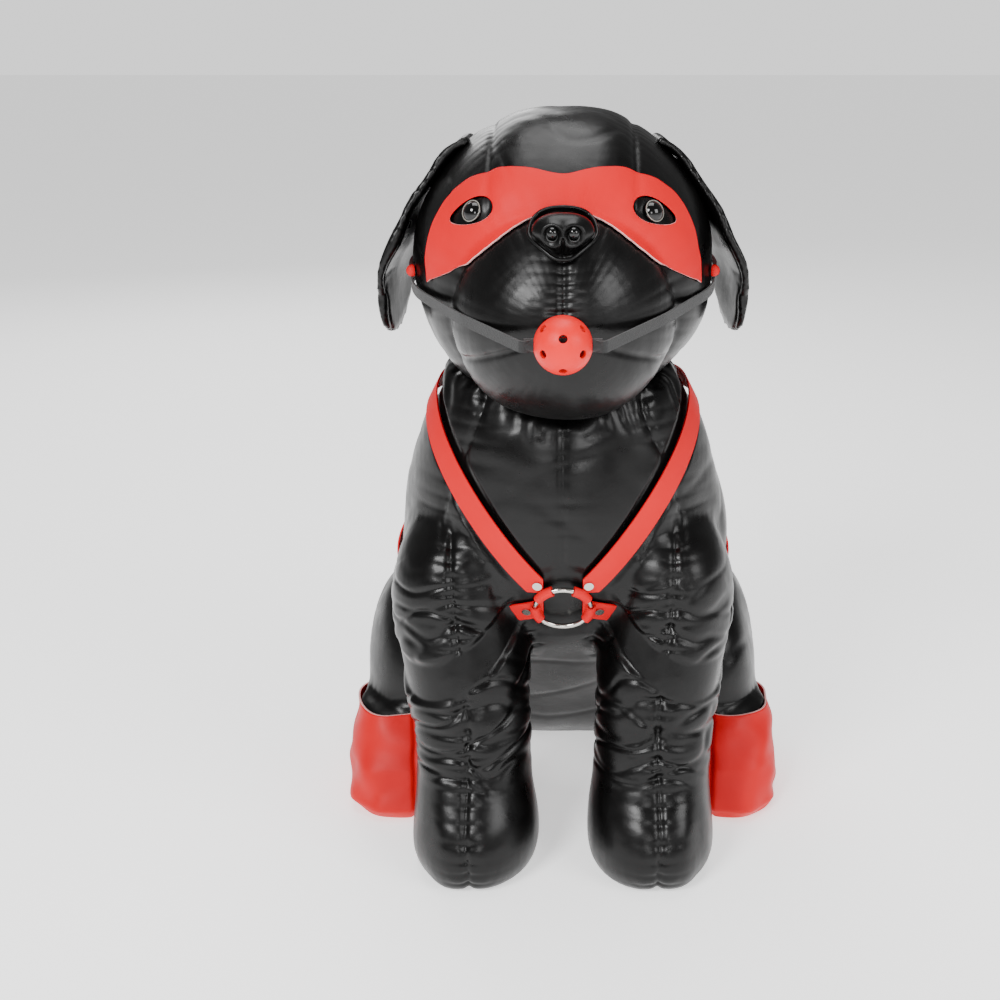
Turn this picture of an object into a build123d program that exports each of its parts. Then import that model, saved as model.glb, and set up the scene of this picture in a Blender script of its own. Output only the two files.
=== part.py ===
from build123d import *
from math import atan2, cos, degrees, pi, radians, sin, sqrt
import os

# A life-size sitting dog sewn from leather over stuffing. It faces -Y, +Z is up, its own left
# side is +X, and the floor is z = 0. Every length is in millimetres.

# Driving sizes
HEIGHT = 673.0  # floor to the crown of the head
SKIN = 2.0  # leather with its backing cloth
FLAP = 0.3  # gap left between pieces that move against each other
FIT = 0.1  # between the torso and what presses on it
FILL_GAP = 0.6  # between the torso's leather and its filling
LAY = 0.2  # gap under a strap or mask that lies on the leather

HEAD_R = 128.5
HEAD_Y = -75.0
HEAD_Z = HEIGHT - HEAD_R
MUZZLE_R = 94.0
MUZZLE_Y = -144.0
MUZZLE_DROP = 27.0  # how far the muzzle's middle sits below the head's middle
CROWN_SEAM_X = 58.0
MUZZLE_SEAM_Y = -168.0
CHIN_SEAM_Z = 482.0

TORSO_WIDTH = 324.0
TORSO_DEPTH = 300.0
# height, middle Y, share of the width, share of the depth
TORSO_SECTIONS = (
    (0, 140, 0.30, 0.36),
    (14, 136, 0.62, 0.52),
    (45, 125, 0.80, 0.68),
    (100, 105, 0.93, 0.83),
    (180, 60, 0.99, 1.00),
    (260, 5, 1.00, 1.00),
    (330, -30, 0.93, 0.86),
    (400, -50, 0.79, 0.70),
    (455, -58, 0.62, 0.57),
    (500, -62, 0.52, 0.50),
)
CHEST_SEAM_X = 104.0
CHEST_SEAM_Y = -35.0

LEG_WIDTH = 114.0
LEG_X = 82.0
# height, X past the paw's middle, middle Y, width share, depth share
LEG_SECTIONS = (
    (0, 0, -150, 0.80, 0.98),
    (12, 0, -150, 0.98, 1.18),
    (45, 0, -150, 1.00, 1.17),
    (80, 0, -140, 0.96, 1.00),
    (110, 1, -132, 0.97, 0.92),
    (180, 8, -115, 1.05, 1.06),
    (250, 16, -90, 1.06, 1.26),
    (315, 8, -72, 0.80, 1.05),
    (345, 2, -60, 0.50, 0.70),
)

HAUNCH_X = 148.0
HAUNCH_Y = 60.0
HAUNCH_WIDTH = 110.0
HAUNCH_R = 105.0
HAUNCH_LIFT = 4.0  # floor to the underside of the haunch

BOOT_X = 165.0
BOOT_WIDTH = 98.0
BOOT_HEIGHT = 92.0
# height share, middle Y, width share, depth share
BOOT_SECTIONS = (
    (0.00, -25, 0.86, 1.26),
    (0.12, -25, 1.00, 1.42),
    (0.52, -22, 0.96, 1.26),
    (1.00, -12, 0.90, 1.06),
)

TAIL_ROOT_R = 20.0
TAIL_TIP_R = 13.0
TAIL_LENGTH = 74.0
TAIL_Z = 98.0
TAIL_RISE = 30.0  # degrees above level
TAIL_OUT = 6.0  # how far the root's middle stands out of the rump

EAR_LAYER = 3.0
EAR_ROOT_GAP = 1.0
EAR_ROLL_R = 4.5
EAR_Y = -62.0
EAR_ROOT_WIDTH = 64.0
EAR_WIDTH = 104.0
EAR_TIP_R = 36.0
EAR_ROOT_Z = 640.0
# X past the root's axis, Z below it, down the middle of the hanging ear
EAR_HANG = ((0, 0), (22, -14), (42, -54), (61, -98), (71, -164))
EAR_START_WAY = (1, -0.2)  # the profile's direction where it leaves the head, then at the tip
EAR_END_WAY = (0.05, -1)
EAR_STEPS = 6
EAR_SHOULDER = (3.0, -12.0)  # where the leaf starts to widen, out from the root and down
EAR_TUCK = 0.68  # share of that reach which the rear edge keeps, so the leaf opens to the front

EYE_X = 71.0
EYE_Z = 597.0
EYE_R = 8.5
EYE_RISE = 5.5
SHANK_R = 2.5
SHANK_LENGTH = 16.0
WASHER_R = 10.0
WASHER_T = 2.0
WASHER_GAP = 2.0  # leather to the locking washer

NOSE_Z = 584.0
NOSE_WIDTH = 46.0
NOSE_HEIGHT = 30.0
NOSE_DEPTH = 36.0
NOSTRIL_X = 8.0
NOSTRIL_RISE = 4.0
NOSTRIL_R = 4.5

BALL_R = 22.0
BALL_WALL = 2.5
BALL_GAP = 0.7
BALL_Z = 511.0
BALL_HOLE_R = 3.2
BALL_HOLES = 5
BALL_HOLE_TURN = 24.0
BALL_HOLE_LEAN = 42.0
CORE_R = 5.0
CORE_FIT = 0.05
MUZZLE_STRAP_W = 9.0
MUZZLE_STRAP_T = 1.6
MUZZLE_STRAP_RISE = 6.0  # degrees up towards the back of the head
BALL_CLEAR = 2.0  # the strap stops this far from the ball's sides
STRAP_TURN_X = 7.0  # ball's side to the strap's turn onto the muzzle

MASK_T = 1.6
# X and Z down one half of the mask's edge, from the middle out to the tip
MASK_TOP = ((0, 626), (24, 631), (48, 631), (75, 622), (96, 606), (110, 585), (124, 548))
MASK_BOTTOM = ((0, 606), (35, 592), (60, 573), (88, 551), (112, 538), (124, 534))
MASK_SLOT_LENGTH = 38.0
MASK_SLOT_ROOM = 1.5  # round the eye
MASK_SLOT_TILT = 25.0
MASK_ELASTIC_T = 3.0
MASK_END_LAP = 4.0  # how far the mask and its elastic stop short of the tie
MASK_TIE_Y = -105.0
MASK_TIE_Z = 541.0
MASK_KNOT_R = 5.0

STRAP_W = 21.0
STRAP_T = 1.8
RING_R = 24.8
RING_WIRE_R = 2.25
RING_FIT = 0.4
RING_Z = 250.0
BACK_RING_Z = 352.0
SHOULDER_WAY = (0.62, 0.0, 0.78)  # which way a shoulder strap leaves a ring, then a girth strap
GIRTH_WAY = (0.95, 0.0, -0.3)
STRAP_START = 2.0  # how far past the loop the strap itself starts
RING_SEAT = 3.2  # leather to the ring's middle plane
LOOP_SPAN = 40.0  # degrees of the ring that one strap end wraps
RIVET_R = 4.2
RIVET_T = 1.6
RIVET_OUT = 9.0  # ring's wire to the rivet
SHOULDER_POINT = (118.0, -55.0, 430.0)
GIRTH_Y = 0.0
GIRTH_Z = 238.0

BUCKLE_W = STRAP_W + 9.0
BUCKLE_L = 26.0
BUCKLE_BAR = 3.6
BUCKLE_T = 2.6
PIN_R = 1.3
PIN_FIT = 0.06
PIN_LIFT = 0.6  # from the strap to the prong's eye
CHAPE_T = 0.8
TONGUE_GAP = 0.1
PRONG_EYE_R = 2.8
PRONG_W = 3.2
PRONG_T = 1.8
CHAPE_GAP = 0.5
BUCKLE_TURN = 52.0  # degrees round the body, from straight back towards the side

FAR = 1500.0


def block(x0, x1, y0, y1, z0, z1):
    """A plain box between two corners."""
    centre = ((x0 + x1) / 2, (y0 + y1) / 2, (z0 + z1) / 2)
    return Pos(*centre) * Box(abs(x1 - x0), abs(y1 - y0), abs(z1 - z0))


def oval(x, y, z, rx, ry, start):
    """A level closed curve that follows an ellipse and starts at an angle in degrees."""
    turns = [radians(start) + 2 * pi * i / 12 for i in range(12)]
    points = [Vector(x + rx * cos(a), y + ry * sin(a), z) for a in turns]
    return Wire([Edge.make_spline(points, periodic=True)])


def lofted(ovals, start):
    """A smooth solid through level ovals, with its surface's own seam at an angle in degrees."""
    return Part() + Solid.make_loft([oval(*item, start) for item in ovals])


def hit(solid, origin, direction):
    """Where a ray first meets a solid, and the outward normal there."""
    start = Vector(*origin)
    heading = Vector(*direction).normalized()
    found = solid.find_intersection_points(Axis(start, heading))
    ahead = [pair for pair in found if (pair[0] - start).dot(heading) > 0]
    point, normal = min(ahead, key=lambda pair: (pair[0] - start).length)
    outward = normal if normal.dot(heading) < 0 else -normal
    return point, outward.normalized()


# ---------------------------------------------------------------- soft body shapes


def head_shape(grow=0.0):
    """The round skull joined to the blunt muzzle; grow 0 is the leather's outside."""
    skull = Pos(0, HEAD_Y, HEAD_Z) * Sphere(HEAD_R + grow)
    muzzle = Pos(0, MUZZLE_Y, HEAD_Z - MUZZLE_DROP) * Sphere(MUZZLE_R + grow)
    return skull + muzzle


def torso_shape(grow=0.0, start=180):
    """Rump to neck, leaning forward; its surface's own seam runs down the side at start."""
    return lofted(
        [
            (0, y, z, w * TORSO_WIDTH / 2 + grow, d * TORSO_DEPTH / 2 + grow)
            for z, y, w, d in TORSO_SECTIONS
        ],
        start,
    )


def leg_shape(grow=0.0):
    """A straight foreleg with its rounded paw."""
    return lofted(
        [
            (LEG_X + dx, y, z, w * LEG_WIDTH / 2 + grow, d * LEG_WIDTH / 2 + grow)
            for z, dx, y, w, d in LEG_SECTIONS
        ],
        270,
    )


def haunch_shape(grow=0.0):
    """The folded thigh and knee."""
    radii = (HAUNCH_WIDTH / 2 + grow, HAUNCH_R + grow, HAUNCH_R + grow)
    return Pos(HAUNCH_X, HAUNCH_Y, HAUNCH_LIFT + HAUNCH_R) * scale(Sphere(1.0), by=radii)


def boot_shape(grow=0.0):
    """The sleeve over a hind foot."""
    return lofted(
        [
            (BOOT_X, y, h * BOOT_HEIGHT, w * BOOT_WIDTH / 2 + grow, d * BOOT_WIDTH / 2 + grow)
            for h, y, w, d in BOOT_SECTIONS
        ],
        270,
    )


under = block(-FAR, FAR, -FAR, FAR, -FAR, SKIN)
sole_layer = block(-FAR, FAR, -FAR, FAR, 0, SKIN)
head_out = head_shape()
head_in = head_shape(-SKIN)
torso_out = torso_shape()
nodes = {}


def both(name, shape):
    """Adds the left piece and its mirror image on the right."""
    nodes[f"{name}_left"] = shape
    nodes[f"{name}_right"] = mirror(shape, about=Plane.YZ)


def pair(shape):
    """A left piece joined with its mirror image, as one group."""
    return shape + mirror(shape, about=Plane.YZ)


# ---------------------------------------------------------------- tail

tail_dir = Vector(0, cos(radians(TAIL_RISE)), sin(radians(TAIL_RISE)))
tail_skin, _ = hit(torso_out, (0, FAR, TAIL_Z), (0, -1, 0))
tail_root = tail_skin + Vector(0, TAIL_OUT, 0)


def tail_shape(grow=0.0):
    """A round root that tapers to a round tip."""
    root_r = TAIL_ROOT_R + grow
    tip_r = TAIL_TIP_R + grow
    frame = Plane(origin=tail_root, z_dir=tail_dir)
    cone = frame * Pos(0, 0, TAIL_LENGTH / 2) * Cone(root_r, tip_r, TAIL_LENGTH)
    tip = frame * Pos(0, 0, TAIL_LENGTH) * Sphere(tip_r)
    return cone + tip + frame * Sphere(root_r)


tail_socket = Pos(*tail_root) * Sphere(TAIL_ROOT_R + FLAP)
nodes["tail_cover"] = tail_shape() - tail_shape(-SKIN)
nodes["tail_fill"] = tail_shape(-SKIN)

# ---------------------------------------------------------------- eyes and nose

eye_point, eye_out = hit(head_out, (EYE_X, -FAR, EYE_Z), (0, 1, 0))
eye_seat = Plane(origin=eye_point, z_dir=eye_out)
dome_r = (EYE_R**2 + EYE_RISE**2) / (2 * EYE_RISE)
dome = eye_seat * Pos(0, 0, EYE_RISE - dome_r) * Sphere(dome_r) - head_out
shank = eye_seat * Pos(0, 0, -SHANK_LENGTH / 2) * Cylinder(SHANK_R, SHANK_LENGTH)
washer_at = eye_seat * Pos(0, 0, -SKIN - WASHER_GAP - WASHER_T / 2)
washer_room = washer_at * Cylinder(WASHER_R, WASHER_T)
both("eye", dome + shank)
nodes["eye_washers"] = pair(washer_room - shank)
eye_room = pair(shank + washer_room)

nose_point, nose_out = hit(head_out, (0, -FAR, NOSE_Z), (0, 1, 0))
nose_block = Pos(*nose_point) * scale(
    Sphere(1.0), by=(NOSE_WIDTH / 2, NOSE_DEPTH / 2, NOSE_HEIGHT / 2)
)
nostril_from = (NOSTRIL_X, -FAR, NOSE_Z + NOSTRIL_RISE)
nostril_point, _ = hit(nose_block, nostril_from, (0, 1, 0))
nodes["nose"] = nose_block - head_out
nodes["nostrils"] = pair(Pos(*nostril_point) * Sphere(NOSTRIL_R) - nose_block)

# ---------------------------------------------------------------- head

head_skin = head_out - head_in - eye_room
muzzle_side = block(-FAR, FAR, -FAR, MUZZLE_SEAM_Y, -FAR, FAR)
chin = block(-FAR, FAR, -FAR, MUZZLE_SEAM_Y, -FAR, CHIN_SEAM_Z)
gusset_z = HEAD_Z - MUZZLE_DROP
gusset = block(-CROWN_SEAM_X, CROWN_SEAM_X, MUZZLE_SEAM_Y, FAR, gusset_z, FAR)
left_half = block(0, FAR, -FAR, FAR, -FAR, FAR)
nodes["head_fill"] = head_in - eye_room
nodes["head_crown_gusset"] = head_skin & gusset
nodes["head_chin_panel"] = head_skin & chin
both("head_side", (head_skin & left_half) - gusset - muzzle_side)
both("muzzle_panel", (head_skin & left_half & muzzle_side) - chin)

# ---------------------------------------------------------------- ears

ear_skin, ear_out = hit(head_out, (FAR, HEAD_Y, EAR_ROOT_Z), (-1, 0, 0))
ear_root = ear_skin + ear_out * (EAR_ROLL_R + EAR_ROOT_GAP)
ear_axis = Vector(ear_root.X, EAR_Y, ear_root.Z)
ear_long = -EAR_HANG[-1][1]


def ear_line(offset, reach):
    """The hanging ear's profile, moved sideways by offset, standing out by a share of its reach."""
    middle = Spline([Vector(x * reach, z) for x, z in EAR_HANG], tangents=[EAR_START_WAY, EAR_END_WAY])
    places = [i / EAR_STEPS for i in range(EAR_STEPS + 1)]
    return [middle.position_at(t) + middle.tangent_at(t).rotate(Axis.Z, 90) * offset for t in places]


def ear_profile(y, reach, low, high):
    """The section of a layer between two offsets, across the ear at y."""
    inner = ear_line(low, reach)
    outer = ear_line(high, reach)
    edges = [Spline(inner), Line(inner[-1], outer[-1]), Spline(outer), Line(outer[0], inner[0])]
    return Pos(0, y, 0) * make_face([Plane.XZ * edge for edge in edges])


def ear_band(low, high):
    """A layer of the ear between two offsets, before its outline is cut: it runs straight from a
    front profile that stands out to a rear one that lies nearer the head."""
    front = ear_profile(-EAR_WIDTH / 2 - 1, 1, low, high)
    rear = ear_profile(EAR_WIDTH / 2 + 1, EAR_TUCK, low, high)
    return Pos(*ear_axis) * loft([front, rear], ruled=True)


def ear_outline():
    """The leaf seen from the side: a narrow root, a wide middle and a round tip."""
    half = EAR_WIDTH / 2
    root = EAR_ROOT_WIDTH / 2
    tip_z = -ear_long + EAR_TIP_R
    shoulder_at = (root + EAR_SHOULDER[0], EAR_SHOULDER[1])
    one_side = [(root, EAR_ROLL_R + 1), shoulder_at, (half, -0.5 * ear_long), (EAR_TIP_R, tip_z)]
    rest = [(-y, z) for y, z in reversed(one_side)]
    down = Spline(one_side)
    up = Spline(rest)
    tip = ThreePointArc(one_side[-1], (0, -ear_long), rest[0])
    face = make_face([Plane.YZ * edge for edge in (down, tip, up, Line(up @ 1, down @ 0))])
    return Pos(*ear_axis) * extrude(face, FAR, both=True)


ear_roll = Pos(*ear_axis) * Rot(90, 0, 0) * Cylinder(EAR_ROLL_R, EAR_ROOT_WIDTH)
ear_leaf = ear_outline()
both("ear_outer", (ear_band(0, EAR_LAYER) & ear_leaf) + ear_roll)
both("ear_lining", (ear_band(-EAR_LAYER, 0) & ear_leaf) - ear_roll)

# ---------------------------------------------------------------- mask


def mirrored_edge(points):
    """A smooth edge across both halves, through points given from the middle out."""
    whole = [(-x, z) for x, z in reversed(points[1:])] + list(points)
    return Plane.XZ * Spline(whole)


mask_top = mirrored_edge(MASK_TOP)
mask_bottom = mirrored_edge(MASK_BOTTOM)
mask_ends = [Line(mask_top @ t, mask_bottom @ t) for t in (0, 1)]
mask_face = make_face([mask_top, mask_bottom] + mask_ends)
slot = Ellipse(MASK_SLOT_LENGTH / 2, EYE_R + MASK_SLOT_ROOM)
slot_prism = Plane.XZ * Pos(EYE_X, EYE_Z) * Rot(0, 0, -MASK_SLOT_TILT) * slot
mask_prism = extrude(mask_face, FAR, both=True) - pair(extrude(slot_prism, FAR, both=True))
mask_layer = head_shape(LAY + MASK_T) - head_shape(LAY)
mask_front = block(-FAR, FAR, -FAR, MASK_TIE_Y - MASK_END_LAP, -FAR, FAR)
mask = mask_layer & mask_prism & mask_front
nodes["mask"] = mask

elastic_plane = Plane(origin=(0, MASK_TIE_Y, MASK_TIE_Z)).rotated((MUZZLE_STRAP_RISE, 0, 0))
elastic_slab = elastic_plane * Box(FAR, FAR, MASK_ELASTIC_T)
elastic_layer = head_shape(LAY + MASK_ELASTIC_T) - head_shape(LAY)
mask_elastic = (elastic_layer & elastic_slab) - block(-FAR, FAR, -FAR, MASK_TIE_Y + MASK_END_LAP, -FAR, FAR)
nodes["mask_elastic"] = mask_elastic
tie_point, tie_out = hit(head_out, (FAR, MASK_TIE_Y, MASK_TIE_Z), (-1, 0, 0))
knot = Pos(*(tie_point + tie_out * (LAY + MASK_T))) * Sphere(MASK_KNOT_R)
nodes["mask_knots"] = pair(knot - head_shape(LAY) - mask - mask_elastic)

# ---------------------------------------------------------------- ball and muzzle strap

muzzle_point, _ = hit(head_out, (0, -FAR, BALL_Z), (0, 1, 0))
ball_at = muzzle_point + Vector(0, -(BALL_R + BALL_GAP), 0)
ball_frame = Plane(origin=ball_at, x_dir=(0, 0, 1), z_dir=(1, 0, 0))
ball = Sphere(BALL_R) - Sphere(BALL_R - BALL_WALL)
ball = ball - Cylinder(CORE_R + CORE_FIT, 3 * BALL_R)
ball_hole = Pos(0, 0, BALL_R) * Cylinder(BALL_HOLE_R, BALL_R)
for row, lean in enumerate((-BALL_HOLE_LEAN, 0, BALL_HOLE_LEAN)):
    for i in range(BALL_HOLES):
        turn = 360 / BALL_HOLES * (i + 0.5 * (row != 1)) + 90 - BALL_HOLE_TURN
        ball = ball - Rot(0, 0, turn) * Rot(0, 90 + lean, 0) * ball_hole
nodes["ball"] = ball_frame * ball

strap_plane = Plane(origin=ball_at).rotated((MUZZLE_STRAP_RISE, 0, 0))


def tangent_hull(a, a_r, b, b_r):
    """Two circles and the straight tangents between them, filled."""
    apart = a - b
    along = apart.normalized()
    across = along.rotate(Axis.Z, 90)
    lean = (b_r - a_r) / apart.length
    sides = [along * lean + across * (k * sqrt(1 - lean**2)) for k in (1, -1)]
    corners = [a + sides[0] * a_r, b + sides[0] * b_r, b + sides[1] * b_r, a + sides[1] * a_r]
    middle = make_face(Polyline(corners + corners[:1]))
    return middle + Pos(*a) * Circle(a_r) + Pos(*b) * Circle(b_r)


def strap_loop(grow):
    """The closed route of the muzzle strap, as a filled level shape."""
    skull_at = Vector(0, HEAD_Y - ball_at.Y)
    muzzle_at = Vector(0, MUZZLE_Y - ball_at.Y)
    skull_r = HEAD_R + LAY + grow
    muzzle_r = MUZZLE_R + LAY + grow
    shape = tangent_hull(skull_at, skull_r, muzzle_at, muzzle_r)
    for s in (1, -1):
        turn_at = Vector(s * (BALL_R + STRAP_TURN_X), 0)
        shape = shape + tangent_hull(muzzle_at, muzzle_r, turn_at, CORE_R - MUZZLE_STRAP_T + grow)
    return shape


ring_shape = strap_loop(MUZZLE_STRAP_T) - strap_loop(0)
strap_ring = strap_plane * extrude(ring_shape, MUZZLE_STRAP_W / 2, both=True)
ball_clear = BALL_R + BALL_CLEAR
strap_ring = strap_ring - block(-ball_clear, ball_clear, -FAR, HEAD_Y, -FAR, FAR) - head_out
core_length = 2 * (BALL_R + STRAP_TURN_X)
nodes["muzzle_strap"] = strap_ring + ball_frame * Cylinder(CORE_R, core_length)

# ---------------------------------------------------------------- torso

chest = block(-CHEST_SEAM_X, CHEST_SEAM_X, -FAR, CHEST_SEAM_Y, SKIN, FAR)
nodes["torso_fill"] = torso_shape(-SKIN - FILL_GAP) - head_out - under - tail_socket
nodes["torso_seat"] = torso_out & sole_layer
for side, k, start in (("left", 1, 180), ("right", -1, 0)):
    half = block(0, k * FAR, -FAR, FAR, SKIN, FAR)
    skin_half = (torso_shape(0, start) - torso_shape(-SKIN, start) - head_out - tail_socket) & half
    nodes[f"chest_panel_{side}"] = skin_half & chest
    nodes[f"torso_side_{side}"] = skin_half - chest

# ---------------------------------------------------------------- harness


def ring_frame(z, towards):
    """The plane that a harness ring lies in, just clear of the leather."""
    point, out = hit(torso_out, (0, -towards * FAR, z), (0, towards, 0))
    return Plane(origin=point + out * RING_SEAT, x_dir=(1, 0, 0), z_dir=out)


def strap_plane_through(points):
    """The plane that a strap's middle line lies in."""
    a, b, c = (Vector(*p) for p in points)
    return Plane(origin=a, z_dir=(b - a).cross(c - a).normalized())


def ring_loop(frame, toward):
    """A strap end wrapped round the ring's wire, on the side that toward points to."""
    local = frame.to_local_coords(frame.origin + toward)
    turn = degrees(atan2(local.Y, local.X))
    hole_r = RING_WIRE_R + RING_FIT
    section = Plane.XZ * Pos(RING_R, 0) * (Circle(hole_r + STRAP_T) - Circle(hole_r))
    wrap = revolve(section, Axis.Z, LOOP_SPAN)
    return frame * Rot(0, 0, turn - LOOP_SPAN / 2) * wrap


def rivet(frame, toward):
    """A flat-headed rivet through the strap just outside the ring."""
    local = frame.to_local_coords(frame.origin + toward)
    out_xy = Vector(local.X, local.Y).normalized() * (RING_R + RIVET_OUT)
    start = frame.from_local_coords(Vector(out_xy.X, out_xy.Y, RING_R))
    point, out = hit(strap_outside, start, -frame.z_dir)
    return Plane(origin=point, z_dir=out) * Cylinder(RIVET_R, 2 * RIVET_T)


front_frame = ring_frame(RING_Z, 1)
back_frame = ring_frame(BACK_RING_Z, -1)
nodes["front_ring"] = front_frame * Torus(RING_R, RING_WIRE_R)
nodes["back_ring"] = back_frame * Torus(RING_R, RING_WIRE_R)
ring_rooms = [frame * Torus(RING_R, RING_WIRE_R + RING_FIT) for frame in (front_frame, back_frame)]

strap_inside = torso_shape(LAY)
strap_outside = torso_shape(LAY + STRAP_T)
strap_layer = strap_outside - strap_inside
ring_in = SHOULDER_WAY[0] * RING_R
front_o = front_frame.origin
back_o = back_frame.origin
shoulder_plane = strap_plane_through(
    ((ring_in, front_o.Y, front_o.Z + ring_in), SHOULDER_POINT, (ring_in, back_o.Y, back_o.Z + ring_in))
)
girth_plane = strap_plane_through(
    (
        (RING_R, front_o.Y, front_o.Z + GIRTH_WAY[2] * RING_R),
        (TORSO_WIDTH / 2, GIRTH_Y, GIRTH_Z),
        (RING_R, back_o.Y, back_o.Z + GIRTH_WAY[2] * RING_R),
    )
)
past_ring = block(ring_in + STRAP_START, FAR, -FAR, FAR, -FAR, FAR)
slab = Box(2 * FAR, 2 * FAR, STRAP_W)
shoulder = strap_layer & (shoulder_plane * slab) & past_ring
shoulder = shoulder & block(-FAR, FAR, -FAR, FAR, RING_Z + ring_in, FAR)
girth = strap_layer & (girth_plane * slab) & past_ring
strap_ends = []
rivets = []
for toward in (Vector(*SHOULDER_WAY), Vector(*GIRTH_WAY)):
    for frame in (front_frame, back_frame):
        strap_ends.append(ring_loop(frame, toward) - strap_outside)
        rivets.append(rivet(frame, toward))

# ---------------------------------------------------------------- buckles

round_body = radians(90 - BUCKLE_TURN)
aim = Vector(cos(round_body), sin(round_body), 0)
aim = (aim - girth_plane.z_dir * aim.dot(girth_plane.z_dir)).normalized()
middle_of_body = girth_plane.origin + Vector(-girth_plane.origin.X, GIRTH_Y - girth_plane.origin.Y, 0)
middle_of_body = middle_of_body - girth_plane.z_dir * (middle_of_body - girth_plane.origin).dot(
    girth_plane.z_dir
)
buckle_point, buckle_out = hit(strap_outside, middle_of_body + aim * FAR, aim * -1)
pin_height = PRONG_EYE_R + PIN_LIFT
along_strap = girth_plane.z_dir.cross(buckle_out).normalized()
buckle_at = Plane(origin=buckle_point + buckle_out * pin_height, x_dir=along_strap, z_dir=buckle_out)

frame_hole = Box(BUCKLE_L - 2 * BUCKLE_BAR, BUCKLE_W - 2 * BUCKLE_BAR, 2 * BUCKLE_T)
pin = Rot(90, 0, 0) * Cylinder(PIN_R, BUCKLE_W - BUCKLE_BAR)
buckle_frame = Box(BUCKLE_L, BUCKLE_W, BUCKLE_T) - frame_hole + pin
both("buckle_frame", buckle_at * buckle_frame)

prong_hole = Rot(90, 0, 0) * Cylinder(PIN_R + PIN_FIT, 2 * PRONG_W)
prong_eye = Rot(90, 0, 0) * Cylinder(PRONG_EYE_R, PRONG_W)
tongue_z = BUCKLE_T / 2 + TONGUE_GAP + PRONG_T / 2
tongue = Pos(BUCKLE_L / 4, 0, tongue_z) * Box(BUCKLE_L / 2, PRONG_W, PRONG_T)
both("buckle_prong", buckle_at * (prong_eye + tongue - prong_hole))

chape_w = (BUCKLE_W - 2 * BUCKLE_BAR - PRONG_W) / 2 - 2 * CHAPE_GAP
chape_y = PRONG_W / 2 + CHAPE_GAP + chape_w / 2
chape_loop = Cylinder(PRONG_EYE_R + CHAPE_T, chape_w) - Cylinder(PIN_R + PIN_FIT, 2 * chape_w)
chape_loop = Rot(90, 0, 0) * chape_loop
chapes = Pos(0, chape_y, 0) * chape_loop + Pos(0, -chape_y, 0) * chape_loop

for room in ring_rooms:
    girth = girth - room
    shoulder = shoulder - room
shoulder = shoulder - head_out
girth = girth - shoulder
both("shoulder_strap", shoulder)
both("girth_strap", girth)
nodes["buckle_chapes"] = pair(buckle_at * chapes - strap_outside)
nodes["strap_end_loops"] = pair(Part() + strap_ends)
nodes["harness_rivets"] = pair((Part() + rivets) - strap_outside)

# ---------------------------------------------------------------- forelegs, haunches, boots

girth_room = torso_shape(LAY + STRAP_T + FLAP) & (girth_plane * Box(2 * FAR, 2 * FAR, STRAP_W + 2 * FLAP))
leg_out = leg_shape()
leg_in = leg_shape(-SKIN)
torso_near = torso_shape(FIT)
body_room = torso_near + girth_room
both("foreleg_cover", leg_out - body_room - leg_in - under)
both("foreleg_fill", leg_in - body_room - under)
both("paw_sole", leg_out & sole_layer)

haunch_out = haunch_shape()
haunch_in = haunch_shape(-SKIN)
both("haunch_cover", haunch_out - haunch_in - torso_near - leg_out)
both("haunch_fill", haunch_in - torso_near - leg_out)

boot_out = boot_shape()
boot_in = boot_shape(-SKIN)
both("boot", boot_out - boot_in - torso_near - leg_out - haunch_out - under)
both("hind_foot", boot_in - torso_near - leg_out - haunch_out - under)
both("boot_sole", (boot_out & sole_layer) - torso_near - leg_out - haunch_out)

# ---------------------------------------------------------------- placing and writing

boxes = [shape.bounding_box() for shape in nodes.values()]
middle_y = (min(box.min.Y for box in boxes) + max(box.max.Y for box in boxes)) / 2
to_frame = Pos(0, -middle_y, 0)
nodes = {name: to_frame * shape for name, shape in nodes.items()}

os.makedirs("parts", exist_ok=True)
for name, shape in nodes.items():
    export_step(shape, f"parts/{name}.step")
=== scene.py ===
"""A large sitting stuffed dog in black leather, with a red eye mask, a ball on a muzzle strap, a ring
harness and red boots. It faces -Y and stands on z = 0. Lengths are in metres, so a size in millimetres
is written as a number times MM."""

from math import cos, pi, radians, sin, sqrt

import bmesh
import bpy
import numpy as np
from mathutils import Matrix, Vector


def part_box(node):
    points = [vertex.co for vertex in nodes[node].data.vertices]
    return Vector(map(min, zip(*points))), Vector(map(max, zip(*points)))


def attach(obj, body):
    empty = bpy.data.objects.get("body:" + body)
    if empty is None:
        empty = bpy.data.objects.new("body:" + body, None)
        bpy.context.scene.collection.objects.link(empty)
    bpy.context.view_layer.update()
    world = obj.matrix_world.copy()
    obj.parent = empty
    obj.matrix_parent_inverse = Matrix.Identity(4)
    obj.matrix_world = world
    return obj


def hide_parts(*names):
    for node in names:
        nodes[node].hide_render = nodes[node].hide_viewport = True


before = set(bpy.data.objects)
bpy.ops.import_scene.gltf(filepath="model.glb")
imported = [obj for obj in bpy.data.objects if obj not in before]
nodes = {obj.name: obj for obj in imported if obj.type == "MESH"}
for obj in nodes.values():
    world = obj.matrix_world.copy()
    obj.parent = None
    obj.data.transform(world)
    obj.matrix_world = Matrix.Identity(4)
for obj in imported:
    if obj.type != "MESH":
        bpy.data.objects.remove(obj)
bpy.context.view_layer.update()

MM = 0.001
SIDES = (("left", 1), ("right", -1))

# ------------------------------------------------------------------ where things are

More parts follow.
